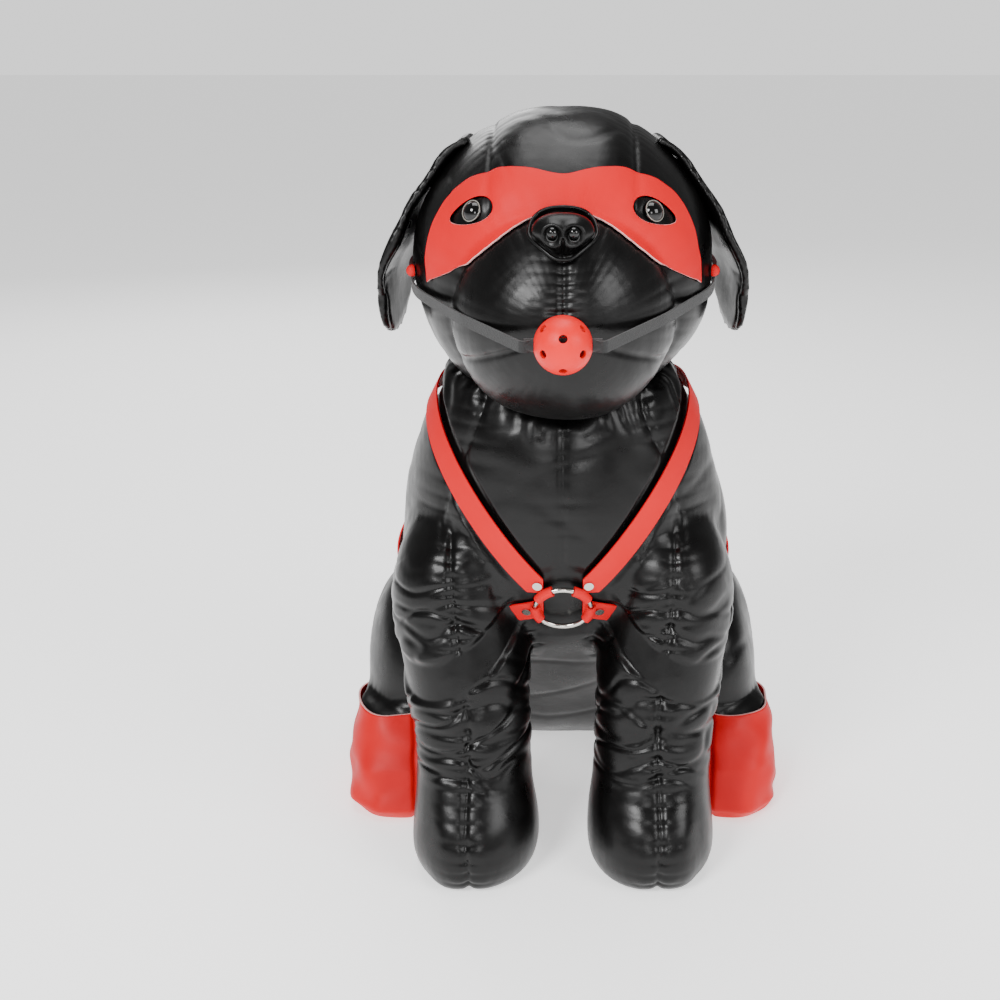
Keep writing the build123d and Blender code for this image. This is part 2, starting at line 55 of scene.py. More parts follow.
SKIN = 2.0 * MM  # leather thickness: the fillings sit this far inside the outside surface
head_low, head_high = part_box("head_fill")
SKULL_R = (head_high.x - head_low.x) / 2 + SKIN
SKULL_AT = Vector((0, head_high.y + SKIN - SKULL_R, head_high.z + SKIN - SKULL_R))
MUZZLE_R = 94 * MM
MUZZLE_AT = Vector((0, head_low.y - SKIN + MUZZLE_R, SKULL_AT.z - 27 * MM))
ball_low, ball_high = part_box("ball")
BALL_AT = (ball_low + ball_high) / 2
nose_low, nose_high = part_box("nose")
NOSE_AT = (nose_low + nose_high) / 2
BOOT_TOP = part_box("boot_left")[1].z
CROWN_SEAM_X = 58 * MM
JAW_Z = BALL_AT.z - 4 * MM

# ------------------------------------------------------------------ materials


def colour(text):
    """Linear colour from an sRGB hex string."""
    parts = [int(text[i : i + 2], 16) / 255 for i in (1, 3, 5)]
    linear = [c / 12.92 if c <= 0.04045 else ((c + 0.055) / 1.055) ** 2.4 for c in parts]
    return (*linear, 1.0)


def add(tree, kind, inputs, output=0, **settings):
    """Adds one shader node and gives one of its outputs. An input is a value or another node's output."""
    node = tree.nodes.new(kind)
    for key, value in settings.items():
        setattr(node, key, value)
    for key, value in inputs.items():
        if isinstance(value, bpy.types.NodeSocket):
            tree.links.new(value, node.inputs[key])
        else:
            node.inputs[key].default_value = value
    return node.outputs[output]


def material(name, **values):
    """A material with a Principled shader; values are its inputs, with _ for a space. Gives the
    material, its node tree, the shader and the object coordinates that its patterns read."""
    made_one = bpy.data.materials.new(name)
    made_one.use_nodes = True
    tree = made_one.node_tree
    shader = tree.nodes["Principled BSDF"]
    for key, value in values.items():
        shader.inputs[key.replace("_", " ")].default_value = value
    return made_one, tree, shader, add(tree, "ShaderNodeTexCoord", {}, "Object")


def leather(name, dark, light, rough, specular, crumple_depth):
    """Polyurethane leathercloth on a knitted back: embossed pebbles 0.9 mm apart under a soft sheen,
    with slack crumpling about 30 mm across, so that highlights are broad and slightly broken."""
    made_one, tree, shader, place = material(name, Specular_IOR_Level=specular)
    noise = "ShaderNodeTexNoise"
    blotch = add(tree, noise, {"Vector": place, "Scale": 1 / (60 * MM), "Detail": 3.0})
    mixed = {0: blotch, 6: colour(dark), 7: colour(light)}
    tree.links.new(add(tree, "ShaderNodeMix", mixed, 2, data_type="RGBA"), shader.inputs["Base Color"])
    gloss = add(tree, noise, {"Vector": place, "Scale": 1 / (25 * MM), "Detail": 4.0})
    spread = {"Value": gloss, "From Min": 0.3, "From Max": 0.7}
    spread.update({"To Min": rough - 0.06, "To Max": rough + 0.08})
    tree.links.new(add(tree, "ShaderNodeMapRange", spread), shader.inputs["Roughness"])
    slack = add(tree, noise, {"Vector": place, "Scale": 1 / (30 * MM), "Detail": 4.0, "Roughness": 0.55})
    soft = add(tree, "ShaderNodeBump", {"Height": slack, "Distance": crumple_depth, "Strength": 0.6})
    cells = add(tree, "ShaderNodeTexVoronoi", {"Vector": place, "Scale": 1 / (0.9 * MM)})
    grain = {"Height": cells, "Distance": 0.10 * MM, "Strength": 0.3, "Normal": soft}
    tree.links.new(add(tree, "ShaderNodeBump", grain), shader.inputs["Normal"])
    return made_one


def woven(name, dark, light, thread):
    """Woven or knitted threads: small round bumps one thread apart, matt, with painted shade darkening
    the colour in the gaps between the threads and a paler painted highlight on their tops.
    """
    made_one, tree, shader, place = material(name, Roughness=0.75, Sheen_Weight=0.2)
    cells = add(tree, "ShaderNodeTexVoronoi", {"Vector": place, "Scale": 1 / thread})
    # painted shade and highlight: light colour at each thread's middle, dark colour towards the gaps
    # between threads, where shade falls
    mixed = {0: cells, 6: colour(light), 7: colour(dark)}
    tree.links.new(add(tree, "ShaderNodeMix", mixed, 2, data_type="RGBA"), shader.inputs["Base Color"])
    ribs = {"Height": cells, "Distance": 0.3 * thread, "Strength": 0.8}
    tree.links.new(add(tree, "ShaderNodeBump", ribs), shader.inputs["Normal"])
    return made_one


def moulded(name, shade, rough, **values):
    """A hard moulded or plated surface: one colour with handling marks 4 mm across in its gloss."""
    made_one, tree, shader, place = material(name, Base_Color=colour(shade), **values)
    marks = add(tree, "ShaderNodeTexNoise", {"Vector": place, "Scale": 1 / (4 * MM), "Detail": 5.0})
    spread = {"Value": marks, "From Min": 0.3, "From Max": 0.7}
    spread.update({"To Min": rough * 0.8, "To Max": rough * 1.3})
    tree.links.new(add(tree, "ShaderNodeMapRange", spread), shader.inputs["Roughness"])
    flow = {"Height": marks, "Distance": 0.02 * MM, "Strength": 0.5}
    tree.links.new(add(tree, "ShaderNodeBump", flow), shader.inputs["Normal"])
    return made_one


BLACK = leather("black_leathercloth", "#020202", "#060505", 0.31, 0.27, 0.8 * MM)
RED = leather("red_leathercloth", "#c8000c", "#d80012", 0.55, 0.2, 0.3 * MM)
BOOT_RED = leather("boot_leathercloth", "#c00008", "#d4000c", 0.50, 0.25, 0.6 * MM)
EDGE = woven("raw_backing_edge", "#d98684", "#f0c4c0", 1.0 * MM)
BLACK_ELASTIC = woven("black_elastic", "#050505", "#121213", 0.8 * MM)
RED_ELASTIC = woven("red_elastic", "#8a0014", "#b80a20", 0.8 * MM)
BALL_RED = moulded("red_polypropylene", "#e80208", 0.42, Specular_IOR_Level=0.3)
EYE_BLACK = moulded("black_acrylic", "#020202", 0.07)
# painted reflection: a pale grey colour for the ring that stands in for the light reflected on each eye
# dome's edge
EYE_REFLECTION_PAINT = moulded("painted_eye_reflection_ring", "#7d7a73", 0.25)
NICKEL = moulded("nickel_plate", "#c9c6bf", 0.16, Metallic=1.0)

# ------------------------------------------------------------------ mesh helpers


def coords(mesh):
    """All vertex positions as an array."""
    flat = np.empty(len(mesh.vertices) * 3, dtype=np.float32)
    mesh.vertices.foreach_get("co", flat)
    return flat.reshape(-1, 3).astype(float)


def normals(mesh):
    """All vertex normals as an array."""
    flat = np.empty(len(mesh.vertices) * 3, dtype=np.float32)
    mesh.vertex_normals.foreach_get("vector", flat)
    return flat.reshape(-1, 3).astype(float)


def move_to(mesh, points):
    """Writes vertex positions back."""
    mesh.vertices.foreach_set("co", points.astype(np.float32).ravel())
    mesh.update()


def smooth(mesh):
    """Smooth shading on every face."""
    mesh.polygons.foreach_set("use_smooth", np.ones(len(mesh.polygons), dtype=bool))
    mesh.update()


def made(obj):
    """The object's mesh with its modifiers applied, and the modifiers gone."""
    graph = bpy.context.evaluated_depsgraph_get()
    mesh = bpy.data.meshes.new_from_object(obj.evaluated_get(graph))
    obj.modifiers.clear()
    old = obj.data
    obj.data = mesh
    bpy.data.meshes.remove(old)
    return obj


def piece(name, mesh, finish, body="body"):
    """Links a mesh as a piece that rides on a body."""
    obj = bpy.data.objects.new(name, mesh)
    bpy.context.scene.collection.objects.link(obj)
    mesh.materials.clear()
    mesh.materials.append(finish)
    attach(obj, body)
    return obj


def grid_mesh(name, points, wrap_u=False, wrap_v=False):
    """A mesh from a (rows, columns, 3) array of points, closed round either way if asked."""
    rows, columns, _ = points.shape
    i, j = np.meshgrid(
        np.arange(rows if wrap_u else rows - 1),
        np.arange(columns if wrap_v else columns - 1),
        indexing="ij",
    )
    i2, j2 = (i + 1) % rows, (j + 1) % columns
    faces = np.stack([i * columns + j, i2 * columns + j, i2 * columns + j2, i * columns + j2], axis=-1)
    mesh = bpy.data.meshes.new(name)
    mesh.from_pydata(points.reshape(-1, 3).tolist(), [], faces.reshape(-1, 4).tolist())
    mesh.update()
    smooth(mesh)
    return mesh


def merged_copy(name, sources):
    """One mesh that holds copies of several meshes."""
    work = bmesh.new()
    for source in sources:
        work.from_mesh(source)
    mesh = bpy.data.meshes.new(name)
    work.to_mesh(mesh)
    work.free()
    return mesh


def keep_largest(mesh):
    """Drops every loose part but the one with the most vertices."""
    work = bmesh.new()
    work.from_mesh(mesh)
    work.verts.ensure_lookup_table()
    label = [-1] * len(work.verts)
    groups = []
    for start in work.verts:
        if label[start.index] >= 0:
            continue
        label[start.index] = len(groups)
        members = [start]
        for vertex in members:
            for edge in vertex.link_edges:
                other = edge.other_vert(vertex)
                if label[other.index] < 0:
                    label[other.index] = len(groups)
                    members.append(other)
        groups.append(members)
    largest = max(groups, key=len)
    spare = [v for group in groups if group is not largest for v in group]
    bmesh.ops.delete(work, geom=spare, context="VERTS")
    work.to_mesh(mesh)
    work.free()


CLOTH_FRAMES = 15
STUFFING_PRESSURE = 4


def stuffed(name, sources, voxel, grow, cap, levels, soften=0, body="body"):
    """A stuffed skin: the merged fillings are remeshed, softened where they meet, pushed out by grow
    to the leather's outside, blown up as cloth by no more than cap, and subdivided."""
    mesh = merged_copy(name, [nodes[source].data for source in sources])
    obj = piece(name, mesh, BLACK, body)
    remesh = obj.modifiers.new("Remesh", "REMESH")
    remesh.mode = "VOXEL"
    remesh.voxel_size = voxel
    made(obj)
    keep_largest(obj.data)
    if soften:
        ease = obj.modifiers.new("Soften", "SMOOTH")
        ease.iterations = soften
        made(obj)
    rest = coords(obj.data) + normals(obj.data) * grow
    move_to(obj.data, rest)
    cloth = obj.modifiers.new("Cloth", "CLOTH")
    settings = cloth.settings
    settings.use_pressure = True
    settings.uniform_pressure_force = STUFFING_PRESSURE
    settings.quality = 4
    settings.tension_stiffness = 20
    settings.compression_stiffness = 20
    settings.bending_stiffness = 1.0
    settings.effector_weights.gravity = 0
    cloth.collision_settings.use_collision = False
    for moment in range(1, CLOTH_FRAMES + 1):
        bpy.context.scene.frame_set(moment)
    graph = bpy.context.evaluated_depsgraph_get()
    blown = coords(obj.evaluated_get(graph).data)
    bpy.context.scene.frame_set(1)
    obj.modifiers.clear()
    shift = blown - rest
    length = np.linalg.norm(shift, axis=1, keepdims=True)
    move_to(obj.data, rest + shift * np.minimum(1, cap / np.maximum(length, 1e-9)))
    divide = obj.modifiers.new("Subdivide", "SUBSURF")
    divide.levels = levels
    made(obj)
    smooth(obj.data)
    obj.data.materials.clear()
    obj.data.materials.append(BLACK)
    return obj


def ripples(points, size, seed, count=12):
    """A smooth random field about -1 to 1: waves about size metres long in random directions."""
    rng = np.random.default_rng(seed)
    heading = rng.normal(size=(count, 3))
    heading /= np.linalg.norm(heading, axis=1, keepdims=True)
    waves = heading * (2 * pi / size) * rng.uniform(0.7, 1.4, (count, 1))
    phase = rng.uniform(0, 2 * pi, count)
    return np.sin(points @ waves.T + phase).sum(axis=1) / sqrt(count)


def creases(points, size, seed, width=0.25):
    """Thin lines, 1 on a line and 0 off it, about size metres apart."""
    return np.exp(-((ripples(points, size, seed) / width) ** 2))


def step(value, low, high):
    """Rises smoothly from 0 at low to 1 at high."""
    t = np.clip((value - low) / (high - low), 0, 1)
    return t * t * (3 - 2 * t)


def seam(distance, along, where=1.0, depth=2.2 * MM, pucker=9 * MM, reach=16 * MM, gather=1.0 * MM):
    """How far a sewn seam pulls the leather in: a narrow valley, with gathers that run out of it."""
    valley = depth * np.exp(-((distance / (3.2 * MM)) ** 2))
    wide = 0.8 * depth * np.exp(-((distance / (11 * MM)) ** 2))
    wave = 0.5 + 0.5 * np.sin(2 * pi * along / pucker + 2.0 * np.sin(along / (17 * MM)))
    gathers = gather * wave**2 * np.exp(-np.abs(distance) / reach)
    return -(valley + wide + gathers) * where


def shape_skin(obj, offset):
    """Moves a skin along its normals by offset(points), in metres."""
    points = coords(obj.data)
    out = normals(obj.data)
    move_to(obj.data, points + out * offset(points)[:, None])


# ------------------------------------------------------------------ the stuffed body

# Sections of the left foreleg in mm: height, middle across, middle front to back, half width, half depth
LEG = np.array(
    [
        (0, 82, -165, 46, 56),
        (12, 82, -165, 56, 67),
        (45, 82, -165, 57, 67),
        (80, 82, -155, 55, 57),
        (110, 83, -147, 55, 52),
        (180, 90, -130, 60, 60),
        (250, 98, -105, 60, 72),
        (315, 90, -87, 46, 60),
        (345, 84, -75, 29, 40),
    ]
).T


def leg_share(x, y, z):
    """1 on a foreleg and 0 off it, from how far a point is from the leg's middle line."""
    cx, cy, rx, ry = (np.interp(z / MM, LEG[0], LEG[k]) * MM for k in range(1, 5))
    away = np.hypot((np.abs(x) - cx) / rx, (y - cy) / ry)
    return step(-away, -1.28, -1.08) * step(-z, -345 * MM, -290 * MM) * step(-y, 40 * MM, 80 * MM)


def head_relief(p):
    """Seams of the crown gusset, the muzzle, the nose bridge and the chin, and soft dents."""
    x, y, z = p.T
    to_skull = np.linalg.norm(p - np.array(SKULL_AT), axis=1) - SKULL_R
    to_muzzle = np.linalg.norm(p - np.array(MUZZLE_AT), axis=1) - MUZZLE_R
    front = step(-y, -(MUZZLE_AT.y - 5 * MM), -(MUZZLE_AT.y - 30 * MM))
    round_muzzle = np.hypot(to_skull, to_muzzle)
    turn = np.arctan2(z - MUZZLE_AT.z, x) * MUZZLE_R
    relief = seam(round_muzzle, turn, depth=1.8 * MM, pucker=13 * MM, gather=0.5 * MM)
    on_skull = step(to_muzzle, 4 * MM, 12 * MM) * step(z, SKULL_AT.z - 30 * MM, SKULL_AT.z)
    relief += seam(np.abs(np.abs(x) - CROWN_SEAM_X), y, on_skull, depth=1.5 * MM, gather=0.2 * MM)
    bridge = front * step(-z, -(NOSE_AT.z - 4 * MM), -(NOSE_AT.z - 14 * MM))
    bridge = bridge * step(z, JAW_Z, BALL_AT.z)
    relief += seam(np.abs(x), z, bridge, depth=1.8 * MM, pucker=8 * MM, gather=1.3 * MM, reach=9 * MM)
    jaw = JAW_Z - 0.42 * np.maximum(np.abs(x) - 20 * MM, 0)
    relief += seam(np.abs(z - jaw) * 0.9, x, front, depth=1.8 * MM, pucker=15 * MM, gather=0.5 * MM)
    relief += 1.5 * MM * ripples(p, 110 * MM, 3)
    return relief - 0.7 * MM * creases(p, 90 * MM, 4) * step(to_muzzle, 0, 0.03)


def torso_relief(x, y, z, p):
    """The chest's middle and side seams, the neck's gathers and long soft folds."""
    front = step(-y, 40 * MM, 75 * MM)
    chest = front * step(z, 240 * MM, 262 * MM)
    relief = seam(np.abs(x), z, chest, depth=1.5 * MM, pucker=16 * MM, gather=0.4 * MM)
    side = 66 * MM + 42 * MM * step(-z, -450 * MM, -320 * MM)
    high = front * step(z, 200 * MM, 300 * MM)
    relief += seam(np.abs(np.abs(x) - side), z, high, depth=1.8 * MM, pucker=15 * MM, gather=0.6 * MM)
    neck = step(z, 395 * MM, 440 * MM)
    round_neck = np.arctan2(x, -(y - SKULL_AT.y)) * 90 * MM
    fold = 0.5 + 0.5 * np.sin(2 * pi * round_neck / (22 * MM) + 3 * ripples(p, 60 * MM, 8))
    relief -= 1.5 * MM * neck * fold
    relief += seam(np.abs(x), z, step(y, 40 * MM, 90 * MM), depth=1.6 * MM, pucker=12 * MM)
    haunch = step(np.abs(x), 120 * MM, 150 * MM) * step(-z, -190 * MM, -150 * MM)
    slant = np.abs(y - 20 * MM - 0.25 * z)
    relief += seam(slant, z, haunch, depth=1.4 * MM, pucker=12 * MM, gather=0.7 * MM)
    relief += 2.2 * MM * ripples(p, 130 * MM, 5)
    return relief - 0.7 * MM * creases(p, 150 * MM, 6)


def leg_relief(x, y, z, p):
    """The front seam with sideways folds that run out of it, over a smooth paw."""
    middle = 84 * MM + 12 * MM * step(z, 110 * MM, 250 * MM) + 3 * MM * np.sin(z / (40 * MM))
    to_seam = np.abs(np.abs(x) - middle)
    front = step(-y, 115 * MM, 150 * MM)
    relief = seam(to_seam, z, front, depth=2.2 * MM, pucker=12 * MM, gather=1.4 * MM, reach=12 * MM)
    shaft = step(z, 78 * MM, 118 * MM) * step(-z, -300 * MM, -230 * MM)
    warp = z + 0.30 * to_seam + 7 * MM * ripples(p, 80 * MM, 11)
    rows = 0.5 + 0.5 * np.sin(2 * pi * warp / (23 * MM) + 1.2 * ripples(p, 60 * MM, 12))
    relief -= 3.0 * MM * shaft * rows**3 * np.exp(-to_seam / (48 * MM))
    wide = p * np.array([0.6, 0.6, 1.6])
    relief -= 2.0 * MM * shaft * creases(wide, 60 * MM, 13, 0.3)
    relief += 2.0 * MM * step(-z, -90 * MM, -55 * MM)
    return relief + 1.2 * MM * ripples(p, 90 * MM, 14)


def strap_dent(p):
    """1 under the harness and 0 off it: each strap lies near one plane, and each ring in a disc."""
    dent = np.zeros(len(p))
    for name, least_z in (("shoulder_strap", 236 * MM), ("girth_strap", 0)):
        for side, s in SIDES:
            strap = coords(nodes[f"{name}_{side}"].data)
            middle = strap.mean(axis=0)
            across = np.linalg.svd(np.cov((strap - middle).T))[0][:, 2]
            band = step(-np.abs((p - middle) @ across), -19 * MM, -12 * MM)
            dent = np.maximum(dent, band * (s * p[:, 0] > 0) * step(p[:, 2], least_z - 10 * MM, least_z))
    for name in ("front_ring", "back_ring"):
        low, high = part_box(name)
        away = np.linalg.norm(p - np.array((low + high) / 2), axis=1)
        dent = np.maximum(dent, step(-away, -52 * MM, -38 * MM))
    return dent


def body_relief(p):
    """The torso's relief blended into the forelegs', drawn in under the harness and in the boots."""
    x, y, z = p.T
    on_leg = leg_share(x, y, z)
    relief = torso_relief(x, y, z, p) * (1 - on_leg) + leg_relief(x, y, z, p) * on_leg
    pressed = strap_dent(p)
    relief = relief * (1 - pressed) - 3.8 * MM * pressed
    in_boot = step(np.abs(x), 105 * MM, 125 * MM) * step(-z, -98 * MM, -86 * MM)
    in_boot = in_boot * step(-y, -35 * MM, -10 * MM)
    drawn = 6.5 * MM + 10 * MM * step(z, 45 * MM, 85 * MM) * step(-y, 35 * MM, 70 * MM)
    return relief * (1 - in_boot) - drawn * in_boot * (1 - on_leg)


def flatten_floor(obj):
    """Keeps the skin on the floor: nothing sinks below it."""
    points = coords(obj.data)
    points[:, 2] = np.maximum(points[:, 2], 0.2 * MM)
    move_to(obj.data, points)


def body_skins():
    """The head, the body with its legs, and the tail, each in place of its panels and its filling."""
    head = stuffed("head_skin", ["head_fill"], 5 * MM, SKIN, 3 * MM, 2)
    shape_skin(head, head_relief)
    panels = ["head_crown_gusset", "head_chin_panel", "eye_washers"]
    panels += [f"{part}_{side}" for part in ("head_side", "muzzle_panel") for side, _ in SIDES]
    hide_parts("head_fill", *panels)

    fillings = ("foreleg_fill", "haunch_fill", "hind_foot")
    limbs = [f"{part}_{side}" for part in fillings for side, _ in SIDES]
    sources = ["torso_fill", *limbs]
    torso = stuffed("body_skin", sources, 5 * MM, SKIN, 3 * MM, 2, soften=14)
    shape_skin(torso, body_relief)
    flatten_floor(torso)
    covers = ("chest_panel", "torso_side", "foreleg_cover", "paw_sole", "haunch_cover")
    panels = [f"{part}_{side}" for part in covers for side, _ in SIDES]
    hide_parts(*sources, "torso_seat", *panels)

    tail = stuffed("tail_skin", ["tail_fill"], 3 * MM, SKIN, 1 * MM, 1, body="tail")
    stitch = {"depth": 1.0 * MM, "gather": 0.6 * MM, "reach": 8 * MM}
    shape_skin(tail, lambda p: seam(np.abs(p[:, 0]), p[:, 1], **stitch))
    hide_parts("tail_fill", "tail_cover")


def from_front_edge(p):
    """How far behind the ear's front edge each point lies, level by level."""
    level = np.round((p[:, 2] - p[:, 2].min()) / (4 * MM)).astype(int)
    edge = np.full(level.max() + 1, np.inf)
    np.minimum.at(edge, level, p[:, 1])
    return p[:, 1] - np.interp(p[:, 2] - p[:, 2].min(), np.arange(len(edge)) * 4 * MM, edge)


def edge_seam(p):
    """A stitched groove 7 mm behind the ear's front edge."""
    return -0.9 * MM * np.exp(-(((from_front_edge(p) - 7 * MM) / (1.5 * MM)) ** 2))


def ears():
    """Two floppy ears: leather sewn to a lining, with a seam behind the front edge, and the root
    drawn in to the head."""
    for side, s in SIDES:
        sources = [f"ear_outer_{side}", f"ear_lining_{side}"]
        ear = stuffed(f"ear_skin_{side}", sources, 2.6 * MM, 0, 1.2 * MM, 1, body=f"ear_{side}")
        shape_skin(ear, lambda p: 0.7 * MM * ripples(p, 50 * MM, 31 + s) + edge_seam(p))
        points = coords(ear.data)
        points[:, 0] -= s * 9 * MM * step(points[:, 2], 585 * MM, 625 * MM)
        move_to(ear.data, points)
        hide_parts(*sources)


def boots():
    """Red sleeves over the hind feet: each level is an oval whose halves widen to the bottom, pushed
    out by soft folds and drawn in at a front seam; the wall turns over its raw top edge and goes
    down again on the inside."""
    turns = np.linspace(0, 2 * pi, 161)[:-1]
    levels = np.linspace(0, 1, 44)
    share = np.array([0, 0.12, 0.52, 1])
    v, u = np.meshgrid(levels, turns, indexing="ij")
    wide = np.interp(v, share, [44, 50.5, 48.5, 42]) * MM
    deep = np.interp(v, share, [63, 70, 61, 43]) * MM
    middle_x = 165 * MM
    middle_y = np.interp(v, share, [-40, -40, -35, -22]) * MM
    across = np.sign(np.cos(u)) * np.abs(np.cos(u)) ** 0.85
    along = np.sign(np.sin(u)) * np.abs(np.sin(u)) ** 0.9
    for side, s in SIDES:
        wall = np.stack([middle_x + wide * across, middle_y + deep * along, v * BOOT_TOP], axis=-1)
        slack = ripples(wall.reshape(-1, 3) * np.array([1, 1, 1.6]), 45 * MM, 41 + s).reshape(v.shape)
        low_folds = np.sin(u * 9 + 6 * v) * np.exp(-(((v - 0.16) / 0.12) ** 2))
        drawn = np.exp(-(((u - 1.5 * pi + 0.35) / 0.05) ** 2))
        push = 2.2 * MM + 1.6 * MM * slack + 1.6 * MM * low_folds - 3.0 * MM * drawn
        wall[..., 0] += across * push
        wall[..., 1] += along * push
        inner = wall[::-1].copy()
        inner[..., 0] -= 2.0 * MM * across[::-1]
        inner[..., 1] -= 2.0 * MM * along[::-1]
        wall = np.concatenate([wall, inner[: len(levels) // 2]], axis=0)
        wall[..., 0] *= s
        mesh = grid_mesh(f"boot_skin_{side}", wall[:, ::-1] if s > 0 else wall, wrap_v=True)
        obj = piece(f"boot_skin_{side}", mesh, BOOT_RED)
        mesh.materials.append(EDGE)
        band = np.zeros(len(mesh.polygons), dtype=np.int32)
        rim = (len(levels) - 1) * len(turns)
        band[rim : rim + len(turns)] = 1
        mesh.polygons.foreach_set("material_index", band)
        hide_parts(f"boot_{side}")


# ------------------------------------------------------------------ face


def face_y(x, z, lift):
    """How far forward the head's surface is: the nearer of two spheres, the skull and the muzzle."""
    fronts = []
    for at, radius in ((SKULL_AT, SKULL_R), (MUZZLE_AT, MUZZLE_R)):
        deep = (radius + lift) ** 2 - x**2 - (z - at.z) ** 2
        fronts.append(np.where(deep > 0, at.y - np.sqrt(np.maximum(deep, 0)), at.y))
    return np.minimum(*fronts)


def mask():
    """The eye mask: a leather sheet laid round the face between a top and a bottom edge, rows
    evenly between them, thickened outwards, with a slanted slot for each eye."""
    top = np.array([(0, 626), (24, 631), (48, 631), (75, 622), (96, 606), (110, 585), (121, 556)])
    bottom = np.array([(0, 606), (35, 592), (60, 573), (88, 551), (112, 538), (121, 536)])
    x = 121 * np.sin(np.linspace(-1, 1, 220) * radians(86)) / sin(radians(86))
    edges = [np.interp(np.abs(x), curve[:, 0], curve[:, 1]) for curve in (top, bottom)]
    hump = np.hanning(17) / np.hanning(17).sum()
    high, low = (np.convolve(np.pad(edge, 8, mode="edge"), hump, "valid") for edge in edges)
    down = np.linspace(0, 1, 44)[:, None]
    z = (high + (low - high) * down) * MM
    x = np.broadcast_to(x * MM, z.shape)
    points = np.stack([x, face_y(x, z, 2.0 * MM), z], axis=-1)
    obj = piece("mask_sheet", grid_mesh("mask_sheet", points), RED)
    obj.data.materials.append(EDGE)
    lie = obj.modifiers.new("Lie", "SHRINKWRAP")
    lie.target = bpy.data.objects["head_skin"]
    lie.wrap_method = "NEAREST_SURFACEPOINT"
    lie.wrap_mode = "OUTSIDE_SURFACE"
    lie.offset = 1.2 * MM
    ease = obj.modifiers.new("Ease", "SMOOTH")
    ease.iterations = 6
    thick = obj.modifiers.new("Thick", "SOLIDIFY")
    thick.thickness = 1.5 * MM
    thick.offset = 1
    thick.material_offset_rim = 1
    made(obj)
    around = np.linspace(0, 2 * pi, 65)[:-1]
    tilt = radians(-25)
    for side, s in SIDES:
        low_eye, high_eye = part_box(f"eye_{side}")
        eye = (low_eye + high_eye) / 2
        long = 19 * MM * np.cos(around)
        tall = 8.6 * MM * np.sin(around) * (1 - 0.3 * np.cos(around))
        dx = long * cos(tilt) - tall * sin(tilt) + 3 * MM
        dz = long * sin(tilt) + tall * cos(tilt)
        ring = np.stack([eye.x + s * dx, 0 * dx, eye.z + dz], axis=-1)
        tube = np.stack([ring + [0, eye.y - 60 * MM, 0], ring + [0, eye.y + 60 * MM, 0]])
        tool = bpy.data.objects.new("slot_tool", grid_mesh("slot_tool", tube, wrap_v=True))
        bpy.context.scene.collection.objects.link(tool)
        tool.data.materials.append(EDGE)
        work = bmesh.new()
        work.from_mesh(tool.data)
        bmesh.ops.holes_fill(work, edges=work.edges, sides=0)
        bmesh.ops.recalc_face_normals(work, faces=work.faces)
        work.to_mesh(tool.data)
        work.free()
        cut = obj.modifiers.new("Slot", "BOOLEAN")
        cut.operation = "DIFFERENCE"
        cut.solver = "EXACT"
        cut.object = tool
        cut.material_mode = "TRANSFER"
        made(obj)
        bpy.data.meshes.remove(tool.data)
    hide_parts("mask")


def tube_round(name, path, radius, finish):
    """A ring or piping: a circle of one radius carried along a closed path of points."""
    along = np.roll(path, -1, axis=0) - np.roll(path, 1, axis=0)
    along /= np.linalg.norm(along, axis=1, keepdims=True)
    out = np.cross(along, (path - path.mean(axis=0)))
    out /= np.linalg.norm(out, axis=1, keepdims=True)
    up = np.cross(along, out)
    b = np.linspace(0, 2 * pi, 13)[:-1][None, :, None]
    points = path[:, None] + radius * (np.cos(b) * out[:, None] + np.sin(b) * up[:, None])
    return piece(name, grid_mesh(name, points, True, True), finish)


def nose():
    """A sculpted leather nose: a round pad, wide above and narrow below, dished by two nostrils and
    a split under them, with a bead in each nostril and a piped edge."""
    half_x, half_y, half_z = 24 * MM, 15 * MM, 16 * MM
    nostril_x, nostril_z = 8 * MM, 0.5 * MM
    centre = np.array([0, nose_low.y + half_y, NOSE_AT.z])
    poles = 0.001  # keeps the first and last ring from closing to a point
    turns = np.linspace(0, 2 * pi, 201)[:-1]
    v, u = np.meshgrid(np.linspace(poles, pi - poles, 110), turns, indexing="ij")
    x = np.sign(np.cos(u)) * np.abs(np.cos(u)) ** 0.8 * np.sin(v)
    z = np.sign(np.sin(u)) * np.abs(np.sin(u)) ** 0.9 * np.sin(v)
    narrow = 1 - 0.48 * step(-z, -0.15, 0.9)
    px, py, pz = x * half_x * narrow, -np.cos(v) * half_y, z * half_z
    front = step(-py, 0, 5 * MM)
    split = np.exp(-((px / (1.5 * MM)) ** 2)) * step(-pz, 0, 3 * MM)
    off = np.hypot(np.abs(px) - nostril_x, pz - nostril_z)
    hole = np.exp(-((off / (4.6 * MM)) ** 2))
    wing = np.exp(-(((off - 8.5 * MM) / (2.2 * MM)) ** 2))
    py = py + front * (3.0 * MM * split + 5.0 * MM * hole - 1.8 * MM * wing)
    mesh = grid_mesh("nose_pad", np.stack([px, py, pz], axis=-1) + centre, wrap_v=True)
    obj = piece("nose_pad", mesh, BLACK)
    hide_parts("nose")
    around = np.linspace(0, 2 * pi, 97)[:-1]
    for side, s in SIDES:
        at = centre + np.array([s * nostril_x, -11.4 * MM, nostril_z])
        rim = at + 3.9 * MM * np.stack([np.cos(around), 0 * around, 1.1 * np.sin(around)], axis=-1)
        tube_round(f"nostril_rim_{side}", rim, 1.2 * MM, EYE_BLACK)
    edge_x = 26 * MM * np.sign(np.cos(around)) * np.abs(np.cos(around)) ** 0.8
    edge_z = 17.5 * MM * np.sin(around)
    edge_x = edge_x * (1 - 0.42 * step(-edge_z, 0, 17 * MM))
    path = np.stack([edge_x, face_y(edge_x, NOSE_AT.z + edge_z, 1.4 * MM), NOSE_AT.z + edge_z], axis=-1)
    tube_round("nose_piping", path, 1.5 * MM, BLACK)


